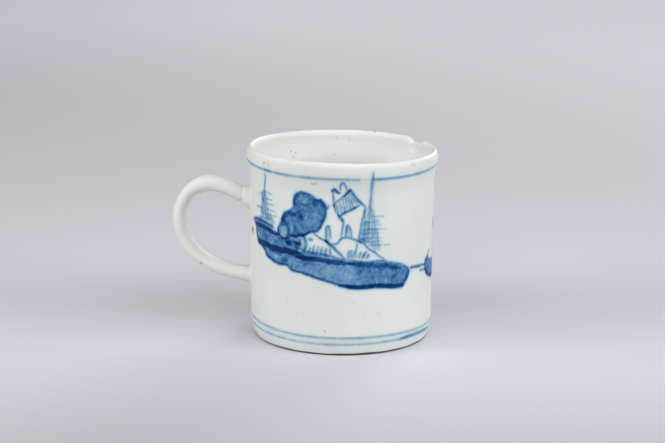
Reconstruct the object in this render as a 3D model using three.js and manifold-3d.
// A small straight-sided porcelain mug: a thrown and turned body with a thickened lip, a rolled loop handle,
// and the two pads of slip that lute the handle to the wall. Millimetres, +Z up. The origin is the centre of
// the flat foot, the handle is on -X, and the painted front faces -Y.
import * as THREE from "three";
import { mergeVertices } from "three/addons/utils/BufferGeometryUtils.js";
import Module from "manifold-3d";

const wasm = await Module();
wasm.setup();

// Body
const height = 64.6;
const bodyDiameter = 62.3; // straight wall, at the foot of the lip's flare
const wallThickness = 2.2;
const floorThickness = 3.2;
const bodyTaper = 0.25; // how much narrower the wall's radius is at the foot
const rimLean = 0.6; // how far the lip dips on the +X side and rises on the -X side

// Lip
const lipDiameter = 64.9;
const lipThickness = 2.5;
const lipRoll = 2.3; // height of the rounded edge above the lip's widest ring
const flareHeight = 11.1; // from the crown down to where the wall starts to flare

// Foot
const footBevelHeight = 6.5;
const footBevelInset = 1.15;
const footEdge = 0.4; // small rounding between the bevel and the flat underside
const innerCorner = 5.0; // radius where the inside wall meets the floor

// Chip in the lip, on the far right
const chipAngle = 32.5; // degrees from +X towards +Y
const chipLength = 8.6;
const chipDepth = 2.1;
const chipTilt = 9; // degrees, deeper towards the back
const flakeHeight = 5.4; // spall down the inside of the wall, from the crown
const flakeLength = 8.0;
const flakeBite = 0.9; // how deep the spall cuts into the wall

// Handle
const gripThickness = 4.9; // seen from the side
const gripWidth = 6.0; // across the mug
const upperSeatDrop = 18.0; // from the crown down to where the loop's centre line meets the wall
const lowerSeatHeight = 20.0;
const upperSeatAngle = 22; // degrees above level, as the loop leaves the wall
const lowerSeatAngle = 4; // degrees below level, as it comes back
const crestRise = 5.4; // of the centre line's top above the upper seat
const crestOut = 13.3; // of that top from the wall
const loopReach = 24.2; // of the centre line's farthest point from the wall
const reachDrop = 6.3; // of that point below the upper seat
const departPull = 3.0; // pulls shape the loop's three stretches, as on a spline's handles
const crestInnerPull = 3.5;
const crestOuterPull = 7.1;
const reachUpperPull = 5.1;
const reachLowerPull = 12.8;
const arrivePull = 12.5;
const endFlare = 0.14; // share by which each end of the loop is pressed wider
const endFlareLength = 3.0;

// Slip joints
const seam = 0.3; // clearance on each face of a slip pad
const upperPad = { thickness: 2.4, height: 7.0, width: 7.2, spread: 0.36, drop: 0.9 };
const lowerPad = { thickness: 0.9, height: 5.9, width: 7.0, spread: 0.22, drop: 0.2 };

// Fineness of the meshes
const bodySides = 80;
const lipSteps = 10;
const flareSteps = 6;
const bevelSteps = 4;
const cornerSteps = 5;
const loopSteps = 44;
const loopSides = 10;
const padSides = 32;

const bodyRadius = bodyDiameter / 2;
const lipRadius = lipDiameter / 2;
const lipBase = height - lipRoll;
const flareBase = height - flareHeight;
const upperSeatHeight = height - upperSeatDrop;

const porcelain = new THREE.MeshStandardMaterial({ color: 0xdadddb, roughness: 0.16, metalness: 0 });
const handleGlaze = new THREE.MeshStandardMaterial({ color: 0xe2e2df, roughness: 0.16, metalness: 0 });
const pooledGlaze = new THREE.MeshStandardMaterial({ color: 0xcfd8d3, roughness: 0.14, metalness: 0 });

// Turns a closed geometry into a solid that can be joined and cut.
function solidFrom(geometry) {
  const bare = geometry.clone();
  bare.deleteAttribute("normal");
  bare.deleteAttribute("uv");
  const merged = mergeVertices(bare, 1e-4);
  return new wasm.Manifold(
    new wasm.Mesh({
      numProp: 3,
      vertProperties: new Float32Array(merged.attributes.position.array),
      triVerts: new Uint32Array(merged.index.array),
    }),
  );
}

// Turns a solid back into a geometry with flat normals.
function geometryFrom(solid) {
  const { vertProperties, triVerts } = solid.getMesh();
  const shared = new THREE.BufferGeometry();
  shared.setAttribute("position", new THREE.BufferAttribute(vertProperties, 3));
  shared.setIndex(new THREE.BufferAttribute(triVerts, 1));
  const geometry = shared.toNonIndexed();
  geometry.computeVertexNormals();
  return geometry;
}

function namedMesh(name, geometry, material) {
  const mesh = new THREE.Mesh(geometry, material);
  mesh.name = name;
  return mesh;
}

// Share of the lip's flare that is reached at height z, easing in and out.
function flareAt(z) {
  return THREE.MathUtils.smoothstep(z, flareBase, lipBase);
}

// Radius of the straight wall, with its slight taper towards the foot.
function wallRadius(z) {
  return bodyRadius - bodyTaper * (1 - Math.min(z, flareBase) / flareBase);
}

// Outside radius at height z, from the foot's bevel to the lip's widest ring.
function outerRadius(z) {
  const bevel = Math.max(0, (footBevelHeight - z) / footBevelHeight);
  return wallRadius(z) - footBevelInset * bevel ** 1.3 + (lipRadius - bodyRadius) * flareAt(z);
}

// Inside radius at height z, above the rounded corner of the floor.
function innerRadius(z) {
  const straight = wallRadius(z) - wallThickness;
  return THREE.MathUtils.lerp(straight, lipRadius - lipThickness, flareAt(z));
}

// A solid of revolution about Z from a profile of [radius, height] pairs that starts and ends on the axis.
function turned(profile, sides) {
  const points = profile.map(([r, z]) => new THREE.Vector2(r, z));
  return new THREE.LatheGeometry(points, sides).rotateX(Math.PI / 2);
}

// The same wall as one full plug, grown by an offset, between two heights.
function wallPlug(offset, low, high) {
  const reach = (z) => outerRadius(z) + offset;
  const middle = (low + high) / 2;
  const profile = [[0, low], [reach(low), low], [reach(middle), middle], [reach(high), high], [0, high]];
  return solidFrom(turned(profile, bodySides * 2));
}

function bodyProfile() {
  const points = [[0, 0], [outerRadius(0) - footEdge, 0]];
  for (let i = 0; i <= bevelSteps; i++) {
    const z = THREE.MathUtils.lerp(footEdge * 0.7, footBevelHeight, i / bevelSteps);
    points.push([outerRadius(z), z]);
  }
  const middle = (footBevelHeight + flareBase) / 2;
  points.push([outerRadius(middle), middle]);
  for (let i = 0; i < flareSteps; i++) {
    const z = THREE.MathUtils.lerp(flareBase, lipBase, i / flareSteps);
    points.push([outerRadius(z), z]);
  }
  const rollCentre = lipRadius - lipThickness / 2;
  for (let i = 0; i <= lipSteps; i++) {
    const angle = (Math.PI * i) / lipSteps;
    points.push([rollCentre + (lipThickness / 2) * Math.cos(angle), lipBase + lipRoll * Math.sin(angle)]);
  }
  for (let i = flareSteps - 1; i >= 0; i--) {
    const z = THREE.MathUtils.lerp(flareBase, lipBase, i / flareSteps);
    points.push([innerRadius(z), z]);
  }
  points.push([innerRadius(middle), middle]);
  const cornerTop = floorThickness + innerCorner;
  for (let i = 0; i <= cornerSteps; i++) {
    const angle = (Math.PI / 2) * (i / cornerSteps);
    const r = innerRadius(cornerTop) - innerCorner * (1 - Math.cos(angle));
    points.push([r, cornerTop - innerCorner * Math.sin(angle)]);
  }
  points.push([0, floorThickness]);
  return points;
}

// Leans the rim: every point dips or rises with its height and its place along X, and the foot stays flat.
function leanRim(geometry) {
  const at = geometry.attributes.position;
  for (let i = 0; i < at.count; i++) {
    const dip = rimLean * (at.getX(i) / lipRadius) * (at.getZ(i) / height);
    at.setZ(i, at.getZ(i) - dip);
  }
  return geometry;
}

// A rounded stone of the given half sizes, placed on the rim: out from the axis, along the rim, and up.
function chipStone(outHalf, alongHalf, upHalf, out, up) {
  const stone = new THREE.IcosahedronGeometry(1, 3);
  stone.scale(outHalf, alongHalf, upHalf);
  stone.rotateX(THREE.MathUtils.degToRad(chipTilt));
  const angle = THREE.MathUtils.degToRad(chipAngle);
  const crown = height - rimLean * Math.cos(angle);
  stone.translate(out, 0, crown + up);
  stone.rotateZ(angle);
  return solidFrom(stone);
}

function chippedBody() {
  const whole = solidFrom(leanRim(turned(bodyProfile(), bodySides)));
  const rollCentre = lipRadius - lipThickness / 2;
  const notchUp = 2 * chipDepth;
  const notchLift = notchUp - chipDepth;
  const notchAlong = chipLength / 2 / Math.sqrt(1 - (notchLift / notchUp) ** 2);
  const notch = chipStone(1.6 * lipThickness, notchAlong, notchUp, rollCentre, notchLift);
  const flakeOut = lipThickness;
  const flakeCentre = lipRadius - lipThickness + flakeBite - flakeOut;
  const flake = chipStone(flakeOut, flakeLength / 2, flakeHeight / 2, flakeCentre, -flakeHeight / 2);
  return geometryFrom(whole.subtract(notch).subtract(flake));
}

// The loop's centre line: up and out to its crest, over to its farthest point, and back down to the wall.
function loopSpine() {
  const at = (out, z) => new THREE.Vector3(-bodyRadius - out, 0, z);
  const towards = (point, degrees, pull) => {
    const angle = THREE.MathUtils.degToRad(degrees);
    return point.clone().add(new THREE.Vector3(-Math.cos(angle) * pull, 0, Math.sin(angle) * pull));
  };
  const upper = at(0, upperSeatHeight);
  const crest = at(crestOut, upperSeatHeight + crestRise);
  const far = at(loopReach, upperSeatHeight - reachDrop);
  const lower = at(0, lowerSeatHeight);
  const spine = new THREE.CurvePath();
  spine.add(
    new THREE.CubicBezierCurve3(
      upper,
      towards(upper, upperSeatAngle, departPull),
      towards(crest, 180, crestInnerPull),
      crest,
    ),
  );
  spine.add(
    new THREE.CubicBezierCurve3(
      crest,
      towards(crest, 0, crestOuterPull),
      towards(far, 90, reachUpperPull),
      far,
    ),
  );
  spine.add(
    new THREE.CubicBezierCurve3(
      far,
      towards(far, -90, reachLowerPull),
      towards(lower, lowerSeatAngle, arrivePull),
      lower,
    ),
  );
  return spine;
}

// Presses both ends of a swept tube a little wider, measured along its spine from the slip pads.
function flareEnds(geometry, spine) {
  const centres = spine.getSpacedPoints(loopSteps);
  const step = spine.getLength() / loopSteps;
  const seatDepths = [upperPad, lowerPad].map((pad) => pad.thickness + 2 * seam);
  const at = geometry.attributes.position;
  const vertex = new THREE.Vector3();
  for (let i = 0; i < at.count; i++) {
    vertex.fromBufferAttribute(at, i);
    let nearest = 0;
    for (let k = 1; k < centres.length; k++) {
      if (centres[k].distanceToSquared(vertex) < centres[nearest].distanceToSquared(vertex)) nearest = k;
    }
    const fromUpper = Math.max(0, nearest * step - seatDepths[0]);
    const fromLower = Math.max(0, (loopSteps - nearest) * step - seatDepths[1]);
    const press = Math.exp(-fromUpper / endFlareLength) + Math.exp(-fromLower / endFlareLength);
    vertex.sub(centres[nearest]).multiplyScalar(1 + endFlare * press).add(centres[nearest]);
    at.setXYZ(i, vertex.x, vertex.y, vertex.z);
  }
  return geometry;
}

function loopHandle() {
  const spine = loopSpine();
  const section = new THREE.Shape();
  section.absellipse(0, 0, gripWidth / 2, gripThickness / 2, 0, Math.PI * 2);
  const swept = new THREE.ExtrudeGeometry(section, {
    steps: loopSteps,
    curveSegments: loopSides,
    extrudePath: spine,
  });
  const seatMiddle = (upperSeatHeight + lowerSeatHeight) / 2;
  const upperCut = wallPlug(upperPad.thickness + 2 * seam, seatMiddle, height);
  const lowerCut = wallPlug(lowerPad.thickness + 2 * seam, 0, seatMiddle);
  const loop = solidFrom(flareEnds(swept, spine));
  return geometryFrom(loop.subtract(upperCut).subtract(lowerCut));
}

// A pad of slip between the wall and one end of the loop. It spreads towards the wall in a hollow curve.
function slipPad(pad, seatHeight, seatAngle) {
  const inside = -wallThickness / 2;
  const face = pad.thickness + 2 * seam;
  const steps = [[1, 0], [0.42, 0.25], [0.14, 0.55], [0, 1]];
  const profile = [[0, inside], [1 + pad.spread, inside]];
  for (const [spread, share] of steps) {
    profile.push([1 + pad.spread * spread, share * face]);
  }
  profile.push([0, face]);
  const points = profile.map(([r, out]) => new THREE.Vector2(r, out));
  const geometry = new THREE.LatheGeometry(points, padSides).rotateZ(Math.PI / 2);
  geometry.scale(1, pad.width / 2, pad.height / 2);
  const rise = Math.tan(THREE.MathUtils.degToRad(seatAngle));
  const at = geometry.attributes.position;
  for (let i = 0; i < at.count; i++) {
    const out = -at.getX(i);
    const sag = pad.drop * (1 - THREE.MathUtils.clamp(out / face, 0, 1));
    at.setZ(i, at.getZ(i) + rise * out - sag);
  }
  geometry.translate(-bodyRadius, 0, seatHeight);
  const low = seatHeight - pad.height * 1.5;
  const high = seatHeight + pad.height * 1.5;
  const outside = wallPlug(seam + pad.thickness, low, high);
  return geometryFrom(solidFrom(geometry).intersect(outside).subtract(wallPlug(seam, low, high)));
}

const group = new THREE.Group();
group.add(namedMesh("body", chippedBody(), porcelain));
group.add(namedMesh("handle", loopHandle(), handleGlaze));
group.add(namedMesh("upper_slip_joint", slipPad(upperPad, upperSeatHeight, upperSeatAngle), pooledGlaze));
group.add(namedMesh("lower_slip_joint", slipPad(lowerPad, lowerSeatHeight, lowerSeatAngle), pooledGlaze));

export default group;
